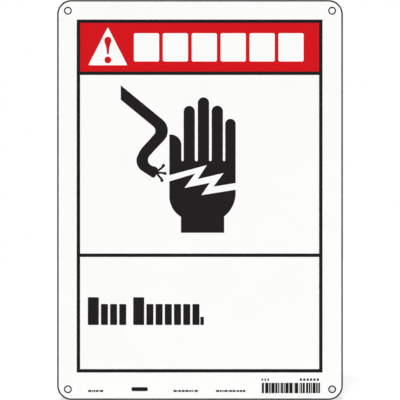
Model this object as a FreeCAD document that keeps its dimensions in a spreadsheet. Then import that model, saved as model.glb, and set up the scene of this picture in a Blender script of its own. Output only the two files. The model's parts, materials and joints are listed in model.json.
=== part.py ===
"""A flat rectangular safety sign: one sheet of aluminium, blanked with rounded corners and punched
with a screw hole in each corner.

The frame: +Z is up, +X is to the reader's right, and the printed face looks along -Y. The origin is
at the centre of the four screw holes, on the back face, where the sign meets the wall or post.
"""
import FreeCAD, Part
import math
import os
import Sketcher
from FreeCAD import Vector

# Driving dimensions, in millimetres: alias, value, what it is.
SIZES = (
    ("sheet_width", 254.0, "the sheet, left to right: ten inches"),
    ("sheet_height", 355.6, "the sheet, bottom to top: fourteen inches"),
    ("sheet_thickness", 1.016, "the sheet's gauge: forty thousandths of an inch"),
    ("corner_radius", 12.7, "the blank's four corners: half an inch"),
    ("hole_diameter", 4.76, "the screw holes: three sixteenths of an inch"),
    ("hole_side_inset", 9.525, "hole's centre to the sheet's left or right edge: three eighths"),
    ("hole_end_inset", 9.525, "hole's centre to the sheet's top or bottom edge: three eighths"),
    ("front_roll", 0.25, "radius that the punch draws on the printed side's edges and hole rims"),
    ("back_break", 0.1, "bevel left by deburring the back's edges and hole rims"),
)
PANEL = "sign_panel"
PARTS_FOLDER = "parts"
# A face counts as looking one way when its normal is this close to it.
SAME_WAY = 1e-6
# How a sketch's constraints name a curve's ends, a circle's centre and the sketch's origin.
START = 1
END = 2
CENTRE = 3
ORIGIN = -1


def write_sizes(doc):
    """The sheet of driving dimensions: a name, a value and its meaning on each row."""
    table = doc.addObject("Spreadsheet::Sheet", "Sizes")
    for row, (alias, value, meaning) in enumerate(SIZES, start=1):
        table.set(f"A{row}", alias)
        table.set(f"B{row}", str(value))
        table.set(f"C{row}", meaning)
        table.setAlias(f"B{row}", alias)
    doc.recompute()
    return table


def origin_plane(body, role):
    """One of the body's own three planes, by its role."""
    return next(plane for plane in body.Origin.OriginFeatures if plane.Role == role)


def new_sketch(body, name):
    """An empty sketch on the upright plane that the back face lies in."""
    sketch = body.newObject("Sketcher::SketchObject", name)
    sketch.AttachmentSupport = [(origin_plane(body, "XZ_Plane"), "")]
    sketch.MapMode = "FlatFace"
    return sketch


def drive(sketch, constraint, name, expression):
    """A named constraint of the sketch, held to an expression of the driving dimensions."""
    index = sketch.addConstraint(constraint)
    sketch.renameConstraint(index, name)
    sketch.setExpression(f"Constraints.{name}", expression)


def draw_outline(sketch, sizes):
    """The blank's outline: a rectangle about the origin with a quarter circle at each corner.

    Sides run anticlockwise from the right one, and each corner leads from a side to the next.
    """
    half_width = sizes.sheet_width / 2
    half_height = sizes.sheet_height / 2
    radius = sizes.corner_radius
    inner_x = half_width - radius
    inner_y = half_height - radius
    ends = (
        (Vector(half_width, -inner_y), Vector(half_width, inner_y)),
        (Vector(inner_x, half_height), Vector(-inner_x, half_height)),
        (Vector(-half_width, inner_y), Vector(-half_width, -inner_y)),
        (Vector(-inner_x, -half_height), Vector(inner_x, -half_height)),
    )
    centres = (
        Vector(inner_x, inner_y),
        Vector(-inner_x, inner_y),
        Vector(-inner_x, -inner_y),
        Vector(inner_x, -inner_y),
    )
    right, top, left, bottom = [sketch.addGeometry(Part.LineSegment(a, b)) for a, b in ends]
    corners = []
    for turn, centre in enumerate(centres):
        circle = Part.Circle(centre, Vector(0, 0, 1), radius)
        start = turn * math.pi / 2
        corners.append(sketch.addGeometry(Part.ArcOfCircle(circle, start, start + math.pi / 2)))
    before = (right, top, left, bottom)
    after = (top, left, bottom, right)
    for side, corner, following in zip(before, corners, after):
        sketch.addConstraint(Sketcher.Constraint("Tangent", side, END, corner, START))
        sketch.addConstraint(Sketcher.Constraint("Tangent", corner, END, following, START))
    for corner in corners[1:]:
        sketch.addConstraint(Sketcher.Constraint("Equal", corners[0], corner))
    for upright in (right, left):
        sketch.addConstraint(Sketcher.Constraint("Vertical", upright))
    for level in (top, bottom):
        sketch.addConstraint(Sketcher.Constraint("Horizontal", level))
    # Opposite corners of the outline are centred on the origin.
    sketch.addConstraint(
        Sketcher.Constraint("Symmetric", right, START, left, START, ORIGIN, START)
    )
    drive(
        sketch,
        Sketcher.Constraint("DistanceX", left, END, right, START, sizes.sheet_width),
        "across",
        "Sizes.sheet_width",
    )
    drive(
        sketch,
        Sketcher.Constraint("DistanceY", bottom, END, top, START, sizes.sheet_height),
        "upward",
        "Sizes.sheet_height",
    )
    drive(
        sketch,
        Sketcher.Constraint("Radius", corners[0], radius),
        "corner",
        "Sizes.corner_radius",
    )


def draw_hole(sketch, sizes):
    """One screw hole, in the upper right corner."""
    centre = Vector(
        sizes.sheet_width / 2 - sizes.hole_side_inset,
        sizes.sheet_height / 2 - sizes.hole_end_inset,
    )
    circle = Part.Circle(centre, Vector(0, 0, 1), sizes.hole_diameter / 2)
    hole = sketch.addGeometry(circle)
    drive(
        sketch,
        Sketcher.Constraint("DistanceX", ORIGIN, START, hole, CENTRE, centre.x),
        "across",
        "Sizes.sheet_width / 2 - Sizes.hole_side_inset",
    )
    drive(
        sketch,
        Sketcher.Constraint("DistanceY", ORIGIN, START, hole, CENTRE, centre.y),
        "upward",
        "Sizes.sheet_height / 2 - Sizes.hole_end_inset",
    )
    drive(
        sketch,
        Sketcher.Constraint("Diameter", hole, sizes.hole_diameter),
        "bore",
        "Sizes.hole_diameter",
    )


def blank_sheet(body, sizes):
    """The flat blank, from the back face at Y = 0 forwards to the printed face."""
    sketch = new_sketch(body, "BlankOutline")
    draw_outline(sketch, sizes)
    blank = body.newObject("PartDesign::Pad", "Blank")
    blank.Profile = sketch
    blank.setExpression("Length", "Sizes.sheet_thickness")
    return blank


def screw_holes(doc, body, sizes):
    """One hole punched through the sheet, mirrored left and down to the other corners."""
    sketch = new_sketch(body, "CornerHole")
    draw_hole(sketch, sizes)
    punch = body.newObject("PartDesign::Pocket", "Punch")
    punch.Profile = sketch
    punch.Type = "ThroughAll"
    punch.Midplane = True
    doc.recompute()
    four = body.newObject("PartDesign::MultiTransform", "FourHoles")
    four.Originals = [punch]
    mirrors = []
    for name, role in (("LeftHoles", "YZ_Plane"), ("LowerHoles", "XY_Plane")):
        mirror = body.newObject("PartDesign::Mirrored", name)
        mirror.MirrorPlane = (origin_plane(body, role), [""])
        mirrors.append(mirror)
    four.Transformations = mirrors
    body.Tip = four
    doc.recompute()
    return four


def flat_face(shape, outward):
    """The name of the flat face that looks along outward."""
    for number, face in enumerate(shape.Faces, start=1):
        if isinstance(face.Surface, Part.Plane):
            if (face.normalAt(0, 0) - outward).Length < SAME_WAY:
                return f"Face{number}"
    raise ValueError("the sheet has no such face")


def roll_front_edges(doc, body, punched):
    """The printed side's outer edge and hole rims, drawn over by the punch."""
    roll = body.newObject("PartDesign::Fillet", "FrontRoll")
    roll.Base = (punched, [flat_face(punched.Shape, Vector(0, -1, 0))])
    roll.setExpression("Radius", "Sizes.front_roll")
    body.Tip = roll
    doc.recompute()
    return roll


def break_back_edges(doc, body, rolled):
    """The back's outer edge and hole rims, with the burr taken off."""
    bevel = body.newObject("PartDesign::Chamfer", "BackBreak")
    bevel.Base = (rolled, [flat_face(rolled.Shape, Vector(0, 1, 0))])
    bevel.setExpression("Size", "Sizes.back_break")
    body.Tip = bevel
    doc.recompute()
    return bevel


def sign_panel(doc, sizes):
    """The whole sign, which is one blanked and punched sheet."""
    body = doc.addObject("PartDesign::Body", "SignPanel")
    body.Label = PANEL
    blank_sheet(body, sizes)
    doc.recompute()
    punched = screw_holes(doc, body, sizes)
    rolled = roll_front_edges(doc, body, punched)
    break_back_edges(doc, body, rolled)
    return body


def check(doc, parts):
    """Stops before anything is written if a feature failed or a solid is unsound."""
    for item in doc.Objects:
        if {"Invalid", "Error"} & set(item.State):
            raise RuntimeError(f"{item.Label} failed: {item.State}")
    for part in parts:
        if part.Shape.isNull() or not part.Shape.isValid() or len(part.Shape.Solids) != 1:
            raise RuntimeError(f"{part.Label} is not one sound solid")


def main():
    doc = FreeCAD.newDocument("SafetySign")
    sizes = write_sizes(doc)
    parts = [sign_panel(doc, sizes)]
    doc.recompute()
    check(doc, parts)
    os.makedirs(PARTS_FOLDER, exist_ok=True)
    for part in parts:
        part.Shape.exportStep(os.path.join(PARTS_FOLDER, f"{part.Label}.step"))
        box = part.Shape.BoundBox
        print(
            f"{part.Label}: X {box.XMin:.3f} to {box.XMax:.3f}, Y {box.YMin:.3f} to {box.YMax:.3f}, "
            f"Z {box.ZMin:.3f} to {box.ZMax:.3f}, volume {part.Shape.Volume:.2f}"
        )


main()
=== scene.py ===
"""Dresses the bare aluminium sheet of a safety sign: a baked enamel front that follows the rolled
rims, screen printed inks in red and black, and the floor, lamps and camera of a plain studio.

Everything is in metres, in the frame of the sheet: +Z is up, +X is to the reader's right, and the
printed side looks along -Y. Sizes that are written in millimetres go through MM.
"""

import json
import math

import bmesh
import bpy
from bpy.props import FloatProperty, FloatVectorProperty, IntProperty, PointerProperty
from bpy.types import NodeSocket, Operator, Panel, PropertyGroup
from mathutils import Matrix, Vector


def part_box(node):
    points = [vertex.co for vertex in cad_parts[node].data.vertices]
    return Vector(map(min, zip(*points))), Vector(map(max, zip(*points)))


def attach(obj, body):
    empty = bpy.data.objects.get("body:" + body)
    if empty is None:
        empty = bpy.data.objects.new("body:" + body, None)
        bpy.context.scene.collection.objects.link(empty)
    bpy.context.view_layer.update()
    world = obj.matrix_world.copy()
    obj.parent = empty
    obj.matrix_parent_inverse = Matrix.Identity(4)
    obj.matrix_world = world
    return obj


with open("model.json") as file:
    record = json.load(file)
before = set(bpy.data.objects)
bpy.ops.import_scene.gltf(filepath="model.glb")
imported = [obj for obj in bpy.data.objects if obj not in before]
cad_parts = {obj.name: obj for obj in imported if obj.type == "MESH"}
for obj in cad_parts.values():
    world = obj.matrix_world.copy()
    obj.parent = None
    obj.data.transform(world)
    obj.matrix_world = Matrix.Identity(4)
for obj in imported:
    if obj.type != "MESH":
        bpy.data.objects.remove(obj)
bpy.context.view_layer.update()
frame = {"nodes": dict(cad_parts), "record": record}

bl_info = {
    "name": "Safety sign",
    "version": (1, 0, 0),
    "blender": (4, 5, 0),
    "location": "3D View > Sidebar > Safety Sign",
    "description": "Enamel, printed inks and studio for a sheet aluminium safety sign",
    "category": "Object",
}

MM = 0.001
PANEL = "sign_panel"
BODY = "root"
LOW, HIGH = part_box(PANEL)
# How far the bare metal's front stands before the back face, which lies at Y = 0.
FRONT = -LOW.y
SHEET_WIDTH = HIGH.x - LOW.x
SHEET_HEIGHT = HIGH.z - LOW.z
SCREW_HOLES = next(m for m in frame["record"]["mounts"] if m["kind"] == "bolt_pattern")["dims"]
HOLE_RADIUS = SCREW_HOLES["hole_r_mm"] * MM
SPACING_ACROSS = SCREW_HOLES["spacing_x_mm"] * MM
SPACING_UP = SCREW_HOLES["spacing_y_mm"] * MM


# Sizes and colours


def size(name, millimetres, description):
    """A length that a user may change, written here in millimetres."""
    return FloatProperty(
        name=name,
        description=description,
        default=millimetres * MM,
        precision=5,
        subtype="DISTANCE",
        unit="LENGTH",
    )


def colour(name, red, green, blue, description):
    """A colour that a user may change, as linear red, green and blue."""
    return FloatVectorProperty(
        name=name,
        description=description,
        default=(red, green, blue),
        min=0.0,
        max=1.0,
        subtype="COLOR",
    )


def brightness(name, default, description):
    """The strength of a light, which a user may change."""
    return FloatProperty(name=name, description=description, default=default, min=0.0)


class EnamelSizes(PropertyGroup):
    """The baked enamel and the outline printed round its rims."""

    corner_radius: size("Corner radius", 12.7, "Round of the sheet's four corners")
    front_roll: size("Front roll", 0.25, "Radius drawn on the front's edges by the punch")
    enamel: size("Enamel", 0.05, "Thickness of the baked enamel")
    bite: size("Bite", 0.01, "How far each layer is sunk into the one under it")
    keyline: size("Keyline", 1.35, "Width of the black line along the sheet's edge")
    hole_ring: size("Hole ring", 1.15, "Width of the black ring round each screw hole")


class PrintSizes(PropertyGroup):
    """The printed layout."""

    red_film: size("Red film", 0.02, "Red ink above the enamel")
    black_film: size("Black film", 0.035, "Black ink above the enamel")
    line: size("Frame line", 3.05, "Width of the frame's lines")
    overlap: size("Overlap", 0.5, "How far the red ink runs under the black lines")
    ink_gain: size("Ink gain", 0.25, "How far the wet ink spreads past the edges of the figures")
    frame_left: size("Frame left", -108.1, "Middle of the frame's left line")
    frame_right: size("Frame right", 107.4, "Middle of the frame's right line")
    frame_bottom: size("Frame bottom", -151.84, "Middle of the frame's lower line")
    frame_top: size("Frame top", 158.91, "Middle of the frame's upper line")
    upper_divider: size("Upper divider", 112.66, "Middle of the line under the red band")
    lower_divider: size("Lower divider", -49.1, "Middle of the line over the message")
    heading_blocks: IntProperty(
        name="Heading blocks",
        description="Plain blocks left open in the red band",
        default=6,
        min=1,
    )
    strip_seed: IntProperty(
        name="Strip seed",
        description="Seed of the upright bars' widths and gaps",
        default=7,
    )


class Finishes(PropertyGroup):
    """The colours of the metal, the enamel and the inks."""

    metal: colour("Bare aluminium", 0.74, 0.75, 0.76, "The sheet's back and cut edges")
    enamel: colour("White enamel", 0.93, 0.93, 0.92, "The baked front")
    red: colour("Red ink", 0.625, 0.0045, 0.008, "The heading band")
    black: colour("Black ink", 0.0105, 0.0078, 0.0085, "Figures, blocks and lines")


class StudioSizes(PropertyGroup):
    """The floor, the lamps and the camera."""

    lens: FloatProperty(
        name="Lens",
        description="Focal length in millimetres, for a sensor 36 mm wide",
        default=200.0,
        min=20.0,
        subtype="DISTANCE_CAMERA",
    )
    floor: size("Floor", 9000.0, "Side of the square floor")
    floor_gap: size("Floor gap", 0.2, "Gap under the sheet's lower edge")
    key: brightness("Key lamp", 1.78, "Strength of the distant soft lamp before the sign")
    back: brightness("Back lamp", 0.5, "Strength of the distant soft lamp behind the sign")
    spread: FloatProperty(
        name="Spread",
        description="How wide each lamp looks from the sign, which softens its shadow",
        default=math.radians(14.0),
        min=0.0,
        subtype="ANGLE",
        unit="ROTATION",
    )
    ambient: brightness("Ambient", 0.5, "Brightness of the surroundings as they light the sign")


# The printed shapes, in millimetres on the front. A corner is across, up and its round, and a
# rectangle is left, bottom, right, top and its round.

ALERT_TRIANGLE = ((-81.94, 154.25, 0.89), (-64.16, 119.53, 0.89), (-99.76, 119.53, 0.89))
ALERT_AXIS = -81.94
# Half width, height and round of the alert mark's corners down its right side.
ALERT_MARK = (
    (2.8, 144.91, 2.8),
    (2.8, 140.55, 2.8),
    (1.26, 136.55, 10.7),
    (0.55, 129.84, 0.27),
)
# Across and up of its middle, and its radius.
ALERT_DOT = (-81.92, 124.55, 2.8)

# Left, right and top of each finger, from the index finger to the little one.
FINGERS = (
    (-14.31, -4.82, 83.39),
    (-1.73, 7.84, 91.03),
    (10.61, 20.13, 83.61),
    (22.65, 31.45, 71.92),
)
THUMB = (-27.01, -16.76, 57.96)
THUMB_ROUND = 9.25
FINGER_ROOT = 34.32
PALM_LEFT = -27.01
PALM_RIGHT = 31.45
# Where each side of the palm meets the wrist: across, up, and the radius of the arc above.
WRIST_LEFT = (-16.71, -14.85, 21.16)
WRIST_RIGHT = (21.25, -14.49, 26.31)
WRIST_BOTTOM = -28.89
# The open zigzag across the hand, along its upper and its lower side.
ZIGZAG_UPPER = (
    (-27.01, 22.31),
    (6.58, 31.38),
    (-1.51, 18.94),
    (21.56, 24.36),
    (12.62, 12.27),
    (31.45, 15.25),
)
ZIGZAG_LOWER = (
    (-27.01, 16.4),
    (-4.98, 23.03),
    (-14.31, 10.36),
    (8.27, 14.94),
    (0.71, 4.0),
    (31.45, 8.89),
)
CABLE = (
    (-70.23, 101.47, 0.0),
    (-22.9, 62.62, 12.41),
    (-37.42, 47.8, 22.32),
    (-51.14, 32.6, 5.75),
    (-35.8, 28.2, 3.3),
    (-40.92, 19.35, 1.84),
    (-59.47, 31.19, 10.76),
    (-52.55, 44.89, 21.68),
    (-37.05, 62.03, 5.34),
    (-70.23, 89.28, 0.0),
)
# The middle line of each frayed strand, from the cable to its free end.
STRANDS = (
    ((-38.58, 25.6), (-34.85, 27.95), (-32.95, 29.85), (-31.9, 31.9)),
    ((-38.58, 24.5), (-35.5, 24.25), (-32.5, 23.9), (-29.7, 23.4)),
    ((-38.7, 24.2), (-36.2, 20.9), (-34.5, 18.9), (-33.5, 16.0)),
)
KNOB_WIDTH = 2.75
# Share of the knob's width along a strand, from the cable to the free end.
STRAND_SWELL = ((0.0, 0.75), (0.7, 0.75), (0.88, 1.0), (0.97, 0.8), (1.0, 0.3))
# The strands are this much thinner than the cable, so that its end hides their roots.
STRAND_FILM = 0.9

# A row of blocks: its lower left corner, the width and height of its first block and of those
# after it, the gap between them, the round of their corners, and how many follow the first.
HEADING_ROW = ((-58.76, 123.13), (22.4, 25.16), (22.4, 25.16), 3.29, 1.0)
MESSAGE_ROWS = (
    ("message_blocks_left", (-99.75, -111.12), (9.8, 24.71), (6.23, 18.66), 1.9, 0.5, 3),
    ("message_blocks_right", (-59.39, -111.12), (9.8, 24.71), (6.29, 18.66), 1.9, 0.5, 6),
)
TICK_ROWS = (
    ("ticks_left", (54.7, -160.74), (1.35, 2.1), (1.35, 2.1), 1.27, 0.2, 2),
    ("ticks_right", (88.7, -160.74), (1.9, 2.1), (1.9, 2.1), 1.12, 0.2, 5),
)
MESSAGE_STOP = (0.27, -111.12, 3.47, -103.84, 0.5)
PLAIN_BAR = (-60.9, -169.9, -46.41, -166.4, 1.2)
# A strip of bars: its left and right end, its bottom and height, how many bars it has, and how
# many whole steps the thickest bar and the widest gap take.
DASH_STRIPS = (
    (-99.39, -86.14, -170.65, 1.75, 6, 5, 1),
    (-23.56, -1.96, -170.65, 1.75, 9, 5, 1),
    (14.22, 40.27, -170.65, 1.75, 11, 5, 1),
)
BAR_STRIP = (54.94, 106.68, -171.75, 9.24, 22, 6, 2)


# How finely the pieces are built

ROLL_STEPS = 8
CORNER_STEPS = 24
HOLE_STEPS = 64
STRAND_STEPS = 24
ROUND_STEPS = 20
# How far round the roll the enamel and the black lines run, and where the enamel starts to thin.
COAT_END = math.radians(75.0)
COAT_FEATHER = math.radians(20.0)
LINE_END = math.radians(50.0)
# A strip of flat beside a roll, which keeps the roll's shading off the wide flat face.
FLAT_HOLD = 0.1 * MM
# Edges that turn by more than this stay sharp.
SHARP_EDGE = math.radians(30.0)
# A corner that turns by less than this is no corner.
STRAIGHT = 1e-4
# Knots nearer than this many millimetres are one knot, and points nearer than this many metres
# are one point.
SAME_KNOT = 0.02
SAME_POINT = 1e-7
# What is added to a strip's seed to draw its gaps.
GAP_SEED = 100.0


# The cut edges and the studio

# Depths from the back over which the cut edge begins, and over which its polished band does.
CUT_BEGINS = (-0.1 * MM, -0.02 * MM)
POLISH_BEGINS = (-0.62 * MM, -0.5 * MM)
PALE = (0.84, 0.84, 0.84)
WHITE = (1.0, 1.0, 1.0, 1.0)
# What the floor shows of itself, so that it meets the surroundings where nothing shades it.
FLOOR_GLOW = 0.2
# Where each lamp stands, in degrees: to the right of the view from the front, and its height.
KEY_PLACE = (-3.0, 50.0)
BACK_PLACE = (150.0, 40.0)
LAMP_DISTANCE = 3.0
SENSOR_WIDTH = 36.0
FARTHEST_SEEN = 100.0


# Outlines


def rectangle(left, bottom, right, top, radius=0.0):
    """A rectangle's four corners, anticlockwise."""
    return (
        (left, bottom, radius),
        (right, bottom, radius),
        (right, top, radius),
        (left, top, radius),
    )


def circle(across, up, radius):
    """A circle, as a square that is all rounds."""
    return rectangle(across - radius, up - radius, across + radius, up + radius, radius)


def sharp(points):
    """Corners with no round."""
    return [(across, up, 0.0) for across, up in points]


def widened(corners, margin):
    """A closed outline with its sides moved outwards by a margin, or inwards if it is negative.

    The round of a corner that points outwards grows by the margin, and of one that points inwards
    shrinks by it, so that the new outline runs parallel to the old one.
    """
    points = [Vector(corner[:2]) for corner in corners]
    following = points[1:] + points[:1]
    sides = [(after - point).normalized() for point, after in zip(points, following)]
    area = sum(point.cross(after) for point, after in zip(points, following))
    outward = math.copysign(1.0, area)
    shifted = []
    for index, (point, corner) in enumerate(zip(points, corners)):
        arriving = sides[index - 1]
        leaving = sides[index]
        first, second = [Vector((side.y, -side.x)) * outward for side in (arriving, leaving)]
        place = point + (first + second) / (1 + first.dot(second)) * margin
        bend = math.copysign(1.0, outward * arriving.cross(leaving))
        radius = max(corner[2] + margin * bend, 0.0) if corner[2] else 0.0
        shifted.append((place.x, place.y, radius))
    return shifted


def rounded_knots(corners):
    """The Bezier knots of a closed outline whose corners are rounded: point, and its two handles.

    A corner is (across, up, radius). A handle of None lies on a straight side.
    """
    points = [Vector(corner[:2]) for corner in corners]
    knots = []
    for index, (point, corner) in enumerate(zip(points, corners)):
        radius = corner[2]
        arriving = (point - points[index - 1]).normalized()
        leaving = (points[(index + 1) % len(points)] - point).normalized()
        turn = arriving.angle(leaving)
        if radius == 0.0 or turn < STRAIGHT:
            knots.append([point, None, None])
            continue
        cut = radius * math.tan(turn / 2)
        reach = radius * 4 / 3 * math.tan(turn / 4)
        begin = point - arriving * cut
        end = point + leaving * cut
        knots.append([begin, None, begin + arriving * reach])
        knots.append([end, end - leaving * reach, None])
    # Where one round ends as the next begins, they share a knot.
    joined = []
    for knot in knots:
        if joined and (knot[0] - joined[-1][0]).length < SAME_KNOT:
            joined[-1][2] = knot[2]
        else:
            joined.append(knot)
    if (joined[0][0] - joined[-1][0]).length < SAME_KNOT:
        joined[0][1] = joined[-1][1]
        joined.pop()
    return joined


def new_object(name, data):
    """A new object in the scene that holds the data."""
    made = bpy.data.objects.new(name, data)
    bpy.context.scene.collection.objects.link(made)
    return made


def flat_curve(name, outlines=()):
    """A flat curve object that holds closed outlines, given in millimetres."""
    curve = bpy.data.curves.new(name, "CURVE")
    curve.dimensions = "2D"
    curve.fill_mode = "NONE"
    curve.resolution_u = ROUND_STEPS
    for corners in outlines:
        knots = rounded_knots(corners)
        spline = curve.splines.new("BEZIER")
        spline.bezier_points.add(len(knots) - 1)
        spline.use_cyclic_u = True
        for place, (point, before, after) in zip(spline.bezier_points, knots):
            place.co = (point * MM).to_3d()
            place.handle_left_type = "FREE" if before else "VECTOR"
            place.handle_right_type = "FREE" if after else "VECTOR"
            if before:
                place.handle_left = (before * MM).to_3d()
            if after:
                place.handle_right = (after * MM).to_3d()
    return new_object(name, curve)


def panel_outline(printed, bottom, top, margin):
    """A panel between two of the frame's levels, in millimetres, grown or shrunk by a margin."""
    left = printed.frame_left / MM - margin
    right = printed.frame_right / MM + margin
    return rectangle(left, bottom / MM - margin, right, top / MM + margin)


def hand_outlines():
    """The raised hand in two parts, above and below the open zigzag across it."""
    thumb_left, thumb_right, thumb_top = THUMB
    upper = [(thumb_left, thumb_top, 0.0), (thumb_right, thumb_top, THUMB_ROUND)]
    before = thumb_right
    for left, right, top in FINGERS:
        gap = (left - before) / 2
        tip = (right - left) / 2
        upper += [(before, FINGER_ROOT, gap), (left, FINGER_ROOT, gap)]
        upper += [(left, top, tip), (right, top, tip)]
        before = right
    upper += sharp(reversed(ZIGZAG_UPPER))
    palm = []
    for side, (wrist, height, radius) in ((PALM_RIGHT, WRIST_RIGHT), (PALM_LEFT, WRIST_LEFT)):
        turn = math.acos((radius - abs(side - wrist)) / radius)
        corner = height + radius * (math.sin(turn) - math.tan(turn / 2))
        palm.append(((side, corner, radius), (wrist, height, 0.0), (wrist, WRIST_BOTTOM, 0.0)))
    lower = [*sharp(ZIGZAG_LOWER), *palm[0], *reversed(palm[1])]
    return upper, lower


# Trees of nodes


def feed(tree, node, *feeds):
    """Sets a node's inputs: each feed is a name or number, then a value or a node's output."""
    for key, value in feeds:
        if isinstance(key, str):
            socket = next(s for s in node.inputs if s.name == key and s.enabled)
        else:
            socket = node.inputs[key]
        if isinstance(value, NodeSocket):
            tree.links.new(value, socket)
        else:
            socket.default_value = value


def add_node(tree, kind, *feeds, **settings):
    """Adds a node with its settings and its inputs."""
    node = tree.nodes.new(kind)
    for name, value in settings.items():
        setattr(node, name, value)
    feed(tree, node, *feeds)
    return node


def made_by(tree, kind, *feeds, **settings):
    """Adds a node and gives its first output."""
    return add_node(tree, kind, *feeds, **settings).outputs[0]


def math_node(tree, operation, first, second):
    """The result of one sum on two numbers."""
    return made_by(tree, "ShaderNodeMath", (0, first), (1, second), operation=operation)


def plus(tree, first, second):
    """Two numbers added."""
    return math_node(tree, "ADD", first, second)


def times(tree, first, second):
    """Two numbers multiplied."""
    return math_node(tree, "MULTIPLY", first, second)


def vector_node(tree, across, up, forward=0.0):
    """A vector made of its three numbers."""
    return made_by(tree, "ShaderNodeCombineXYZ", (0, across), (1, up), (2, forward))


def together(tree, *parts):
    """Several geometries as one."""
    return made_by(tree, "GeometryNodeJoinGeometry", *[(0, part) for part in parts])


def copies_at(tree, points, shape, *scale):
    """A shape set at each point."""
    feeds = (("Points", points), ("Instance", shape), *scale)
    return made_by(tree, "GeometryNodeInstanceOnPoints", *feeds)


def real(tree, part):
    """A geometry with its copies made real."""
    return made_by(tree, "GeometryNodeRealizeInstances", ("Geometry", part))


def moved(tree, part, move, *turn):
    """A geometry moved by a vector, and turned first if a turn is given."""
    feeds = (("Geometry", part), ("Translation", move), *turn)
    return made_by(tree, "GeometryNodeTransform", *feeds)


def flat_wise(tree, curve):
    """A flat curve whose sweep stands square to its plane all along."""
    return made_by(tree, "GeometryNodeSetCurveNormal", ("Curve", curve), mode="Z_UP")


def block(tree, width, height):
    """A plain rectangle's outline, about the origin."""
    feeds = (("Width", width), ("Height", height))
    return made_by(tree, "GeometryNodeCurvePrimitiveQuadrilateral", *feeds)


SOCKETS = {
    "length": "NodeSocketFloat",
    "number": "NodeSocketInt",
    "place": "NodeSocketVector",
    "material": "NodeSocketMaterial",
}
COMMON_INPUTS = (
    ("Film Foot", "length"),
    ("Film Thickness", "length"),
    ("Ink", "material"),
)


def new_tree(name, inputs=()):
    """An empty tree with its named inputs, and its input node's sockets by name."""
    tree = bpy.data.node_groups.new(name, "GeometryNodeTree")
    tree.is_modifier = True
    face = tree.interface
    face.new_socket("Geometry", in_out="INPUT", socket_type="NodeSocketGeometry")
    face.new_socket("Geometry", in_out="OUTPUT", socket_type="NodeSocketGeometry")
    for label, kind in (*inputs, *COMMON_INPUTS):
        socket = face.new_socket(label, in_out="INPUT", socket_type=SOCKETS[kind])
        if kind == "length":
            socket.subtype = "DISTANCE"
    entry = tree.nodes.new("NodeGroupInput")
    return tree, {socket.name: socket for socket in entry.outputs if socket.name}


def stand_on_sheet(tree, given, flat):
    """Ends a tree: turns a flat film upright, sets it on the front, and gives it its ink."""
    foot = vector_node(tree, 0.0, times(tree, given["Film Foot"], -1.0))
    upright = real(tree, moved(tree, flat, foot, ("Rotation", (math.pi / 2, 0.0, 0.0))))
    feeds = (("Geometry", upright), ("Material", given["Ink"]))
    add_node(tree, "NodeGroupOutput", (0, made_by(tree, "GeometryNodeSetMaterial", *feeds)))


def print_film(tree, given, outlines):
    """Ends a tree: fills flat closed outlines, and raises them into a closed film on the front."""
    filled = made_by(tree, "GeometryNodeFillCurve", ("Curve", outlines), mode="TRIANGLES")
    feeds = (
        ("Mesh", filled),
        ("Offset Scale", given["Film Thickness"]),
        ("Individual", False),
    )
    raised = made_by(tree, "GeometryNodeExtrudeMesh", *feeds, mode="FACES")
    under = made_by(tree, "GeometryNodeFlipFaces", ("Mesh", filled))
    feeds = (("Geometry", together(tree, raised, under)), ("Distance", SAME_POINT))
    stand_on_sheet(tree, given, made_by(tree, "GeometryNodeMergeByDistance", *feeds))


def outline_tree():
    """A film of ink inside the object's own outlines."""
    tree, given = new_tree("ink_inside_outlines")
    print_film(tree, given, given["Geometry"])
    return tree


ROW_INPUTS = (
    ("Row Start", "place"),
    ("First Width", "length"),
    ("First Height", "length"),
    ("Later Width", "length"),
    ("Later Height", "length"),
    ("Gap", "length"),
    ("Corner Radius", "length"),
    ("Later Blocks", "number"),
)


def row_values(start, first, later, gap, radius, count):
    """The inputs of a row of blocks, from lengths in millimetres."""
    return {
        "Row Start": (start[0] * MM, start[1] * MM, 0.0),
        "First Width": first[0] * MM,
        "First Height": first[1] * MM,
        "Later Width": later[0] * MM,
        "Later Height": later[1] * MM,
        "Gap": gap * MM,
        "Corner Radius": radius * MM,
        "Later Blocks": count,
    }


def row_block(tree, given, which):
    """The first block of a row or a later one, about the origin, and half its width and height."""
    width = given[f"{which} Width"]
    height = given[f"{which} Height"]
    feeds = (
        ("Curve", block(tree, width, height)),
        ("Radius", given["Corner Radius"]),
        ("Limit Radius", True),
    )
    rounded = made_by(tree, "GeometryNodeFilletCurve", *feeds, mode="BEZIER")
    return rounded, times(tree, width, 0.5), times(tree, height, 0.5)


def row_tree():
    """A film of ink in a row of blocks, which are left open where they lie in an outline."""
    tree, given = new_tree("outlines_and_row_of_blocks", ROW_INPUTS)
    first, half_first, rise = row_block(tree, given, "First")
    later, half_later, up = row_block(tree, given, "Later")
    first = moved(tree, first, vector_node(tree, half_first, rise))
    pitch = plus(tree, given["Later Width"], given["Gap"])
    start = plus(tree, plus(tree, given["First Width"], given["Gap"]), half_later)
    index = made_by(tree, "GeometryNodeInputIndex")
    across = plus(tree, times(tree, index, pitch), start)
    feeds = (("Count", given["Later Blocks"]), ("Position", vector_node(tree, across, up)))
    points = made_by(tree, "GeometryNodePoints", *feeds)
    row = together(tree, first, real(tree, copies_at(tree, points, later)))
    placed = moved(tree, row, given["Row Start"])
    print_film(tree, given, together(tree, given["Geometry"], placed))
    return tree


STRIP_INPUTS = (
    ("Strip Start", "place"),
    ("Strip Length", "length"),
    ("Strip Height", "length"),
    ("Bars", "number"),
    ("Thickest Bar", "number"),
    ("Widest Gap", "number"),
    ("Seed", "number"),
)


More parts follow.
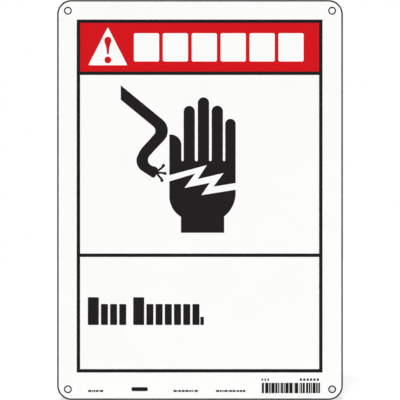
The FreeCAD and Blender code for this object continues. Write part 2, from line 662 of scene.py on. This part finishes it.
def strip_values(left, right, bottom, height, bars, thickest, widest, seed):
    """The inputs of a strip of bars, from lengths in millimetres."""
    return {
        "Strip Start": (left * MM, bottom * MM, 0.0),
        "Strip Length": (right - left) * MM,
        "Strip Height": height * MM,
        "Bars": bars,
        "Thickest Bar": thickest,
        "Widest Gap": widest,
        "Seed": seed,
    }


def whole_steps(tree, most, seed):
    """A whole number from one to most, drawn anew for each bar."""
    feeds = (("Min", 1), ("Max", most), ("Seed", seed))
    drawn = add_node(tree, "FunctionNodeRandomValue", *feeds, data_type="INT")
    return next(socket for socket in drawn.outputs if socket.enabled)


def strip_tree():
    """Upright bars, in whole steps of thickness and gap, fitted to the strip's length."""
    tree, given = new_tree("strip_of_bars", STRIP_INPUTS)
    thickness = whole_steps(tree, given["Thickest Bar"], given["Seed"])
    gap = whole_steps(tree, given["Widest Gap"], plus(tree, given["Seed"], GAP_SEED))
    index = made_by(tree, "GeometryNodeInputIndex")
    follows = math_node(tree, "GREATER_THAN", index, 0.5)
    taken = plus(tree, thickness, times(tree, gap, follows))
    run = add_node(tree, "GeometryNodeAccumulateField", (0, taken)).outputs
    step = math_node(tree, "DIVIDE", given["Strip Length"], run["Total"])
    middle = math_node(tree, "SUBTRACT", run["Leading"], times(tree, thickness, 0.5))
    up = times(tree, given["Strip Height"], 0.5)
    points = made_by(tree, "GeometryNodePoints", ("Count", given["Bars"]))
    place = vector_node(tree, times(tree, middle, step), up)
    placed = made_by(tree, "GeometryNodeSetPosition", ("Geometry", points), ("Position", place))
    scale = vector_node(tree, times(tree, thickness, step), given["Strip Height"], 1.0)
    bars = real(tree, copies_at(tree, placed, block(tree, 1.0, 1.0), ("Scale", scale)))
    print_film(tree, given, moved(tree, bars, given["Strip Start"]))
    return tree


def strand_tree():
    """A flat ribbon along each of the object's lines, swelling to a knob at its free end."""
    tree, given = new_tree("ribbons_with_knobs", (("Knob Width", "length"), ("Steps", "number")))
    feeds = (("Curve", given["Geometry"]), ("Count", given["Steps"]))
    even = made_by(tree, "GeometryNodeResampleCurve", *feeds)
    along = add_node(tree, "GeometryNodeSplineParameter").outputs["Factor"]
    swell = add_node(tree, "ShaderNodeFloatCurve", ("Value", along))
    course = swell.mapping.curves[0]
    for spot, (where, share) in zip(course.points, (STRAND_SWELL[0], STRAND_SWELL[-1])):
        spot.location = (where, share)
    for where, share in STRAND_SWELL[1:-1]:
        course.points.new(where, share)
    swell.mapping.update()
    feeds = (
        ("Curve", flat_wise(tree, even)),
        ("Profile Curve", block(tree, 1.0, 1.0)),
        ("Scale", times(tree, swell.outputs[0], given["Knob Width"])),
        ("Fill Caps", True),
    )
    thick = made_by(tree, "GeometryNodeCurveToMesh", *feeds)
    place = made_by(tree, "GeometryNodeInputPosition")
    parts = add_node(tree, "ShaderNodeSeparateXYZ", (0, place)).outputs
    above = math_node(tree, "GREATER_THAN", parts["Z"], 0.0)
    height = times(tree, above, given["Film Thickness"])
    place = vector_node(tree, parts["X"], parts["Y"], height)
    feeds = (("Geometry", thick), ("Position", place))
    stand_on_sheet(tree, given, made_by(tree, "GeometryNodeSetPosition", *feeds))
    return tree


def ring_tree():
    """The object's own profile swept round each screw hole."""
    inputs = (
        ("Hole Radius", "length"),
        ("Spacing Across", "length"),
        ("Spacing Up", "length"),
        ("Ring Steps", "number"),
    )
    tree, given = new_tree("rings_round_holes", inputs)
    feeds = (("Radius", given["Hole Radius"]), ("Resolution", given["Ring Steps"]))
    rim = made_by(tree, "GeometryNodeCurvePrimitiveCircle", *feeds)
    feeds = (("Curve", flat_wise(tree, rim)), ("Profile Curve", given["Geometry"]))
    ring = made_by(tree, "GeometryNodeCurveToMesh", *feeds)
    feeds = (
        ("Size X", given["Spacing Across"]),
        ("Size Y", given["Spacing Up"]),
        ("Vertices X", 2),
        ("Vertices Y", 2),
    )
    corners = made_by(tree, "GeometryNodeMeshGrid", *feeds)
    stand_on_sheet(tree, given, copies_at(tree, corners, ring))
    return tree


# Materials


def start_material(name):
    """A new material, its tree, its shader and the object's own coordinates."""
    made = bpy.data.materials.new(name)
    made.use_nodes = True
    tree = made.node_tree
    tree.nodes.clear()
    shader = add_node(tree, "ShaderNodeBsdfPrincipled")
    add_node(tree, "ShaderNodeOutputMaterial", (0, shader.outputs[0]))
    place = add_node(tree, "ShaderNodeTexCoord").outputs["Object"]
    return made, tree, shader, place


def noise(tree, place, scale, detail=2.0, stretch=(1.0, 1.0, 1.0)):
    """Noise whose blots are about 1/scale metres across, stretched by dividing its coordinates."""
    spread = made_by(tree, "ShaderNodeMapping", ("Vector", place), ("Scale", stretch))
    feeds = (("Vector", spread), ("Scale", scale), ("Detail", detail))
    return made_by(tree, "ShaderNodeTexNoise", *feeds)


def spread_to(tree, value, low, high, start=0.3, stop=0.7):
    """A value that runs from start to stop, turned to run from low to high."""
    return made_by(tree, "ShaderNodeMapRange", *enumerate((value, start, stop, low, high)))


def blend(tree, share, first, second):
    """Two colours mixed by a share."""
    feeds = ((0, share), (6, first), (7, second))
    return add_node(tree, "ShaderNodeMix", *feeds, data_type="RGBA").outputs[2]


def shaded(shade, factor, warm=0.0):
    """A colour made lighter or darker, and a little warmer."""
    red, green, blue = shade
    return (red * factor * (1 + warm), green * factor, blue * factor * (1 - warm), 1.0)


def dress(tree, shader, tint, rough, *others):
    """Sets the shader's colour and roughness, and its other inputs."""
    feed(tree, shader, ("Base Color", tint), ("Roughness", rough), *others)


def bumps(tree, height, strength, distance):
    """The shader's bumps, from a height. The distance is the height of a full step."""
    feeds = (("Strength", strength), ("Distance", distance), ("Height", height))
    return ("Normal", made_by(tree, "ShaderNodeBump", *feeds))


def enamel_material(shade):
    """Baked enamel: satin gloss, a faint orange peel, and a tint that drifts slightly."""
    made, tree, shader, place = start_material("white_enamel")
    drift = spread_to(tree, noise(tree, place, 16.0, 3.0), 0.0, 1.0)
    tint = blend(tree, drift, shaded(shade, 0.992), shaded(shade, 1.006))
    gloss = spread_to(tree, noise(tree, place, 45.0, 3.0), 0.29, 0.37)
    peel = bumps(tree, noise(tree, place, 620.0), 0.25, 0.02 * MM)
    dress(tree, shader, tint, gloss, peel, ("Specular IOR Level", 0.5))
    return made


def ink_material(name, shade, mottle, low_rough, high_rough):
    """Screen printed ink: fine mottle from the mesh, slow drift in density, and a flat satin."""
    made, tree, shader, place = start_material(name)
    fine = noise(tree, place, 900.0)
    slow = noise(tree, place, 70.0, 3.0)
    density = plus(tree, fine, times(tree, slow, 0.7))
    share = spread_to(tree, density, 0.0, 1.0, 0.55, 1.15)
    tint = blend(tree, share, shaded(shade, 1.0 - mottle), shaded(shade, 1.0 + mottle))
    rough = spread_to(tree, slow, low_rough, high_rough)
    grit = bumps(tree, fine, 0.2, 0.01 * MM)
    dress(tree, shader, tint, rough, grit, ("Specular IOR Level", 0.09))
    return made


def metal_material(shade):
    """Mill finish: grain along the sheet's height on its back, and a sheared band on its edges."""
    made, tree, shader, place = start_material("bare_aluminium")
    upward = (1.0, 1.0, 0.012)
    fine = noise(tree, place, 2600.0, 2.0, upward)
    broad = noise(tree, place, 700.0, 3.0, upward)
    smudge = noise(tree, place, 11.0, 4.0)
    grain = plus(tree, fine, times(tree, broad, 0.8))
    share = spread_to(tree, grain, 0.0, 1.0, 0.7, 1.1)
    rolled = blend(tree, share, shaded(shade, 0.88), shaded(shade, 1.03))
    rolled = blend(tree, spread_to(tree, smudge, 0.0, 0.4), rolled, shaded(shade, 0.9, 0.01))
    # Across the thickness, from the back: torn metal, then the band that the punch polished.
    depth = add_node(tree, "ShaderNodeSeparateXYZ", (0, place)).outputs["Y"]
    torn = noise(tree, place, 5200.0, 3.0, (1.0, 0.35, 1.0))
    edge = spread_to(tree, depth, 1.0, 0.0, *CUT_BEGINS)
    polished = spread_to(tree, depth, 1.0, 0.0, *POLISH_BEGINS)
    dull = blend(tree, torn, shaded(shade, 0.38), shaded(shade, 0.66))
    cut = blend(tree, polished, dull, shaded(shade, 0.74))
    flat_rough = spread_to(tree, grain, 0.3, 0.42, 0.7, 1.1)
    smudged = plus(tree, flat_rough, spread_to(tree, smudge, 0.0, 0.08))
    edge_rough = spread_to(tree, polished, 0.7, 0.55, 0.0, 1.0)
    rough = made_by(tree, "ShaderNodeMix", (0, edge), (2, smudged), (3, edge_rough))
    still_torn = math_node(tree, "SUBTRACT", 1.0, polished)
    ragged = times(tree, times(tree, torn, still_torn), edge)
    height = plus(tree, times(tree, fine, 0.15), ragged)
    scratches = bumps(tree, height, 0.6, 0.03 * MM)
    dress(tree, shader, blend(tree, edge, rolled, cut), rough, scratches, ("Metallic", 1.0))
    return made


def material(name):
    """One of the printed side's materials, made when it is first asked for."""
    if name in bpy.data.materials:
        return bpy.data.materials[name]
    shades = bpy.context.scene.sign_finishes
    if name == "white_enamel":
        return enamel_material(shades.enamel)
    if name == "red_ink":
        return ink_material(name, shades.red, 0.03, 0.4, 0.5)
    if name == "black_ink":
        return ink_material(name, shades.black, 0.12, 0.42, 0.54)
    raise KeyError(f"the sign has no material named {name}")


# Pieces


def finish_piece(name, mesh):
    """Makes a mesh one piece of the sign, smooth but for its edges."""
    mesh.name = name
    mesh.shade_smooth()
    mesh.set_sharp_from_angle(angle=SHARP_EDGE)
    piece = new_object(name, mesh)
    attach(piece, BODY)


def finish_built(name, build, ink):
    """Makes the built faces one piece, all facing outwards."""
    bmesh.ops.recalc_face_normals(build, faces=build.faces)
    mesh = bpy.data.meshes.new(name)
    build.to_mesh(mesh)
    build.free()
    mesh.materials.append(material(ink))
    finish_piece(name, mesh)


def plain_mesh(source, tree, values):
    """What a tree of nodes makes of a source object, as a plain mesh. The source is removed."""
    modifier = source.modifiers.new(tree.name, "NODES")
    modifier.node_group = tree
    sockets = {
        item.name: item.identifier
        for item in tree.interface.items_tree
        if item.item_type == "SOCKET" and item.in_out == "INPUT"
    }
    for label, value in values.items():
        modifier[sockets[label]] = value
    graph = bpy.context.evaluated_depsgraph_get()
    made = bpy.data.meshes.new_from_object(source.evaluated_get(graph), depsgraph=graph)
    source.modifiers.remove(modifier)
    bpy.data.objects.remove(source)
    if not made.polygons:
        raise RuntimeError(f"{tree.name} made nothing")
    return made


def print_piece(source, tree, values=None, height=None, ink="black_ink"):
    """A printed piece: a source's outlines, through a tree of nodes, to a closed film.

    The height is that of the ink above the enamel, and is that of black ink unless it is given.
    """
    name = source.name
    enamel = bpy.context.scene.sign_enamel
    height = height or bpy.context.scene.sign_print.black_film
    shared = {
        "Film Foot": FRONT + enamel.enamel - enamel.bite,
        "Film Thickness": height + enamel.bite,
        "Ink": material(ink),
    }
    finish_piece(name, plain_mesh(source, tree, {**shared, **(values or {})}))


def print_rows(rows):
    """Prints rows of blocks, each a piece with its own name."""
    tree = row_tree()
    for name, *row in rows:
        print_piece(flat_curve(name), tree, row_values(*row))


def rim_profile(reach, under, over, end, feather=0.0):
    """A layer's profile across a rolled rim, from its top on the flat to its underside there.

    Each point is (inset from the rim, lift above the bare front). The layer runs round the roll to
    the angle end, and thins to nothing over the last part of it, feather.
    """
    roll = bpy.context.scene.sign_enamel.front_roll
    turns = [end * step / ROLL_STEPS for step in range(ROLL_STEPS + 1)]

    def place(turn, stand_off):
        radius = roll + stand_off
        return (roll - radius * math.sin(turn), radius * math.cos(turn) - roll)

    def top(turn):
        left = (end - turn) / feather if feather else 1.0
        return over * min(1.0, left)

    flat = [reach]
    if reach > roll + FLAT_HOLD:
        flat.append(roll + FLAT_HOLD)
    points = [(inset, over) for inset in flat]
    points += [place(turn, top(turn)) for turn in turns]
    points += [place(turn, under) for turn in reversed(turns)]
    points += [(inset, under) for inset in reversed(flat)]
    return points


def line_profile(width):
    """The profile of a black line that follows a rim, printed on the enamel."""
    enamel = bpy.context.scene.sign_enamel
    over = enamel.enamel + bpy.context.scene.sign_print.black_film
    return rim_profile(width, enamel.enamel - enamel.bite, over, LINE_END)


def sheet_loop(inset, lift):
    """Points round the sheet's outline, moved in from its edge and forward from its front."""
    radius = bpy.context.scene.sign_enamel.corner_radius
    across = SHEET_WIDTH / 2 - radius
    up = SHEET_HEIGHT / 2 - radius
    centres = ((across, up), (-across, up), (-across, -up), (across, -up))
    points = []
    for quarter, (centre_x, centre_z) in enumerate(centres):
        for step in range(CORNER_STEPS + 1):
            angle = (quarter + step / CORNER_STEPS) * math.pi / 2
            x = centre_x + (radius - inset) * math.cos(angle)
            z = centre_z + (radius - inset) * math.sin(angle)
            points.append((x, -FRONT - lift, z))
    return points


def hole_centres():
    """The four screw holes' centres, from the record."""
    across = SPACING_ACROSS / 2
    up = SPACING_UP / 2
    return [(x, z) for x in (-across, across) for z in (-up, up)]


def hole_loop(centre, inset, lift):
    """Points round one screw hole, moved out from its edge and forward from the front."""
    radius = HOLE_RADIUS + inset
    angles = [2 * math.pi * step / HOLE_STEPS for step in range(HOLE_STEPS)]
    return [
        (centre[0] + radius * math.cos(a), -FRONT - lift, centre[1] + radius * math.sin(a))
        for a in angles
    ]


def skin(build, loops, closed):
    """Faces between each loop of points and the next, and from the last to the first if closed."""
    rings = [[build.verts.new(point) for point in loop] for loop in loops]
    following = rings[1:] + rings[:1] if closed else rings[1:]
    for near, far in zip(rings, following):
        for index in range(len(near)):
            after = (index + 1) % len(near)
            build.faces.new((near[index], near[after], far[after], far[index]))
    return rings


def ring_edges(build, ring):
    """The edges that join a loop's points."""
    return [build.edges.get((a, b)) for a, b in zip(ring, ring[1:] + ring[:1])]


# Studio


def seen_directly(tree):
    """One for the camera's own rays and for those that gloss or glass sends on, else nothing."""
    path = add_node(tree, "ShaderNodeLightPath").outputs
    either = math_node(tree, "MAXIMUM", path["Is Camera Ray"], path["Is Glossy Ray"])
    return math_node(tree, "MAXIMUM", either, path["Is Transmission Ray"])


def make_surroundings(scene, ambient):
    """White all round for the camera, and an even plain light for the sign."""
    world = bpy.data.worlds.new("studio")
    scene.world = world
    world.use_nodes = True
    tree = world.node_tree
    tree.nodes.clear()
    strength = math_node(tree, "MAXIMUM", seen_directly(tree), ambient)
    shown = made_by(tree, "ShaderNodeBackground", ("Color", WHITE), ("Strength", strength))
    add_node(tree, "ShaderNodeOutputWorld", (0, shown))


def floor_material():
    """A pale painted floor that meets the white surroundings without a line, and takes shadows."""
    made, tree, shader, place = start_material("pale_floor")
    tint = blend(tree, noise(tree, place, 3.0, 3.0), shaded(PALE, 0.99), shaded(PALE, 1.01))
    glow = times(tree, seen_directly(tree), FLOOR_GLOW)
    glows = (("Emission Color", WHITE), ("Emission Strength", glow))
    dress(tree, shader, tint, 0.8, ("Specular IOR Level", 0.0), *glows)
    return made


def make_floor(studio):
    """One wide square just under the sheet's lower edge."""
    level = LOW.z - studio.floor_gap
    half = studio.floor / 2
    corners = [(x, y, level) for x, y, _ in rectangle(-half, -half, half, half)]
    mesh = bpy.data.meshes.new("pale_floor")
    mesh.from_pydata(corners, [], [(0, 1, 2, 3)])
    mesh.materials.append(floor_material())
    floor = new_object("pale_floor", mesh)


def make_lamp(name, place, strength, spread):
    """A distant soft lamp, which lights sign and floor evenly."""
    lamp = bpy.data.lights.new(name, "SUN")
    lamp.angle = spread
    lamp.energy = strength
    turn, rise = [math.radians(angle) for angle in place]
    away = Vector((math.sin(turn), -math.cos(turn), math.tan(rise))) * LAMP_DISTANCE
    holder = new_object(name, lamp)
    holder.location = away
    holder.rotation_euler = (-away).to_track_quat("-Z", "Y").to_euler()


def make_camera(scene, studio):
    """A long lens square to the front, from where the sheet's height fills the picture."""
    lens = bpy.data.cameras.new("front_camera")
    lens.sensor_width = SENSOR_WIDTH
    lens.lens = studio.lens
    lens.clip_end = FARTHEST_SEEN
    camera = new_object("front_camera", lens)
    distance = SHEET_HEIGHT * studio.lens / SENSOR_WIDTH
    camera.location = (0.0, -FRONT - distance, 0.0)
    camera.rotation_euler = (math.pi / 2, 0.0, 0.0)
    scene.camera = camera


# Operators


class SIGN_OT_bare_sheet(Operator):
    """Gives the bare sheet its mill finish and its sheared edges"""

    bl_idname = "sign.bare_sheet"
    bl_label = "Bare sheet"

    def execute(self, context):
        metal = metal_material(context.scene.sign_finishes.metal)
        for holder in frame["nodes"][PANEL].material_slots:
            holder.material = metal
        return {"FINISHED"}


class SIGN_OT_enamel_coat(Operator):
    """Lays the white enamel over the front and round its rolled rims"""

    bl_idname = "sign.enamel_coat"
    bl_label = "Enamel coat"

    def execute(self, context):
        enamel = context.scene.sign_enamel
        reach = enamel.front_roll + FLAT_HOLD
        profile = rim_profile(reach, -enamel.bite, enamel.enamel, COAT_END, COAT_FEATHER)
        build = bmesh.new()
        rims = [skin(build, [sheet_loop(*spot) for spot in profile], closed=False)]
        for centre in hole_centres():
            rims.append(skin(build, [hole_loop(centre, *spot) for spot in profile], closed=False))
        # The wide flat faces, first on top and then underneath.
        for level in (0, -1):
            edges = [edge for rim in rims for edge in ring_edges(build, rim[level])]
            bmesh.ops.triangle_fill(build, use_beauty=True, edges=edges)
        finish_built("white_enamel_coat", build, "white_enamel")
        return {"FINISHED"}


class SIGN_OT_edge_keyline(Operator):
    """Prints the black line that follows the sheet's edge"""

    bl_idname = "sign.edge_keyline"
    bl_label = "Edge keyline"

    def execute(self, context):
        profile = line_profile(context.scene.sign_enamel.keyline)
        build = bmesh.new()
        skin(build, [sheet_loop(*spot) for spot in profile], closed=True)
        finish_built("edge_keyline", build, "black_ink")
        return {"FINISHED"}


class SIGN_OT_hole_rings(Operator):
    """Prints a black ring round each screw hole"""

    bl_idname = "sign.hole_rings"
    bl_label = "Hole rings"

    def execute(self, context):
        profile = line_profile(context.scene.sign_enamel.hole_ring)
        source = flat_curve("hole_rings")
        section = source.data.splines.new("POLY")
        section.points.add(len(profile) - 1)
        section.use_cyclic_u = True
        # The sweep's faces look outwards when the profile runs this way round.
        for point, (inset, lift) in zip(section.points, reversed(profile)):
            point.co = (inset, -lift, 0.0, 1.0)
        values = {
            "Film Foot": FRONT,
            "Hole Radius": HOLE_RADIUS,
            "Spacing Across": SPACING_ACROSS,
            "Spacing Up": SPACING_UP,
            "Ring Steps": HOLE_STEPS,
        }
        print_piece(source, ring_tree(), values)
        return {"FINISHED"}


class SIGN_OT_frame_lines(Operator):
    """Prints the black frame and its two dividing lines"""

    bl_idname = "sign.frame_lines"
    bl_label = "Frame lines"

    def execute(self, context):
        printed = context.scene.sign_print
        half = printed.line / MM / 2
        levels = (
            printed.frame_bottom,
            printed.lower_divider,
            printed.upper_divider,
            printed.frame_top,
        )
        outlines = [panel_outline(printed, levels[0], levels[-1], half)]
        for bottom, top in zip(levels, levels[1:]):
            outlines.append(panel_outline(printed, bottom, top, -half))
        print_piece(flat_curve("frame_lines", outlines), outline_tree())
        return {"FINISHED"}


class SIGN_OT_heading_band(Operator):
    """Prints the red band, with the alert triangle and a row of plain blocks left open in it"""

    bl_idname = "sign.heading_band"
    bl_label = "Heading band"

    def execute(self, context):
        printed = context.scene.sign_print
        margin = (printed.overlap - printed.line / 2) / MM
        gain = printed.ink_gain / MM
        right = [(ALERT_AXIS + half, up, radius) for half, up, radius in ALERT_MARK]
        left = [(ALERT_AXIS - half, up, radius) for half, up, radius in ALERT_MARK]
        outlines = (
            panel_outline(printed, printed.upper_divider, printed.frame_top, margin),
            widened(ALERT_TRIANGLE, -gain),
            widened(right + left[::-1], gain),
            widened(circle(*ALERT_DOT), gain),
        )
        source = flat_curve("red_heading_band", outlines)
        values = row_values(*HEADING_ROW, printed.heading_blocks - 1)
        print_piece(source, row_tree(), values, printed.red_film, "red_ink")
        return {"FINISHED"}


class SIGN_OT_hand_and_cable(Operator):
    """Prints the raised hand, and the broken cable with its frayed strands"""

    bl_idname = "sign.hand_and_cable"
    bl_label = "Hand and cable"

    def execute(self, context):
        printed = context.scene.sign_print
        tree = outline_tree()
        gain = printed.ink_gain / MM
        hand = [widened(outline, gain) for outline in hand_outlines()]
        print_piece(flat_curve("hand_figure", hand), tree)
        print_piece(flat_curve("cable_figure", [widened(CABLE, gain)]), tree)
        source = flat_curve("frayed_strands")
        for strand in STRANDS:
            line = source.data.splines.new("BEZIER")
            line.bezier_points.add(len(strand) - 1)
            for knot, spot in zip(line.bezier_points, strand):
                knot.co = (Vector(spot) * MM).to_3d()
                knot.handle_left_type = "AUTO"
                knot.handle_right_type = "AUTO"
        values = {"Knob Width": KNOB_WIDTH * MM, "Steps": STRAND_STEPS}
        print_piece(source, strand_tree(), values, printed.black_film * STRAND_FILM)
        return {"FINISHED"}


class SIGN_OT_message_blocks(Operator):
    """Prints the message panel's two rows of plain blocks and the small block that ends them"""

    bl_idname = "sign.message_blocks"
    bl_label = "Message blocks"

    def execute(self, context):
        print_rows(MESSAGE_ROWS)
        print_piece(flat_curve("message_stop", [rectangle(*MESSAGE_STOP)]), outline_tree())
        return {"FINISHED"}


class SIGN_OT_small_print(Operator):
    """Prints the foot of the sign: dashes, a plain bar, and a strip of upright bars with ticks"""

    bl_idname = "sign.small_print"
    bl_label = "Small print"

    def execute(self, context):
        tree = strip_tree()
        for number, strip in enumerate(DASH_STRIPS, start=1):
            source = flat_curve(f"small_dashes_{number}")
            print_piece(source, tree, strip_values(*strip, number))
        values = strip_values(*BAR_STRIP, context.scene.sign_print.strip_seed)
        print_piece(flat_curve("upright_bars"), tree, values)
        print_rows(TICK_ROWS)
        print_piece(flat_curve("plain_bar", [rectangle(*PLAIN_BAR)]), outline_tree())
        return {"FINISHED"}


class SIGN_OT_studio(Operator):
    """Sets up the floor, the surroundings, the lamps and the camera"""

    bl_idname = "sign.studio"
    bl_label = "Studio"

    def execute(self, context):
        scene = context.scene
        studio = scene.sign_studio
        scene.view_settings.view_transform = "Standard"
        make_surroundings(scene, studio.ambient)
        make_floor(studio)
        make_lamp("key_lamp", KEY_PLACE, studio.key, studio.spread)
        make_lamp("back_lamp", BACK_PLACE, studio.back, studio.spread)
        make_camera(scene, studio)
        return {"FINISHED"}


SETTINGS = {
    "sign_enamel": EnamelSizes,
    "sign_print": PrintSizes,
    "sign_finishes": Finishes,
    "sign_studio": StudioSizes,
}
OPERATORS = (
    SIGN_OT_bare_sheet,
    SIGN_OT_enamel_coat,
    SIGN_OT_edge_keyline,
    SIGN_OT_hole_rings,
    SIGN_OT_frame_lines,
    SIGN_OT_heading_band,
    SIGN_OT_hand_and_cable,
    SIGN_OT_message_blocks,
    SIGN_OT_small_print,
    SIGN_OT_studio,
)


class SIGN_PT_sidebar(Panel):
    """Lists the sizes, the colours and the steps of the sign"""

    bl_idname = "SIGN_PT_sidebar"
    bl_label = "Safety sign"
    bl_space_type = "VIEW_3D"
    bl_region_type = "UI"
    bl_category = "Safety Sign"

    def draw(self, context):
        for settings in SETTINGS:
            group = getattr(context.scene, settings)
            box = self.layout.box()
            for name in group.bl_rna.properties.keys():
                if name not in ("rna_type", "name"):
                    box.prop(group, name)
        for operator in OPERATORS:
            self.layout.operator(operator.bl_idname)


CLASSES = (*SETTINGS.values(), *OPERATORS, SIGN_PT_sidebar)


def register():
    """Makes the settings, the operators and the panel known to Blender."""
    for entry in CLASSES:
        bpy.utils.register_class(entry)
    for name, group in SETTINGS.items():
        setattr(bpy.types.Scene, name, PointerProperty(type=group))


def unregister():
    """Takes the settings, the operators and the panel out again."""
    for name in SETTINGS:
        delattr(bpy.types.Scene, name)
    for entry in reversed(CLASSES):
        bpy.utils.unregister_class(entry)


def main():
    """Builds the sign and its studio."""
    register()
    bpy.ops.sign.bare_sheet()
    bpy.ops.sign.enamel_coat()
    bpy.ops.sign.edge_keyline()
    bpy.ops.sign.hole_rings()
    bpy.ops.sign.frame_lines()
    bpy.ops.sign.heading_band()
    bpy.ops.sign.hand_and_cable()
    bpy.ops.sign.message_blocks()
    bpy.ops.sign.small_print()
    bpy.ops.sign.studio()


if __name__ == "__main__":
    main()
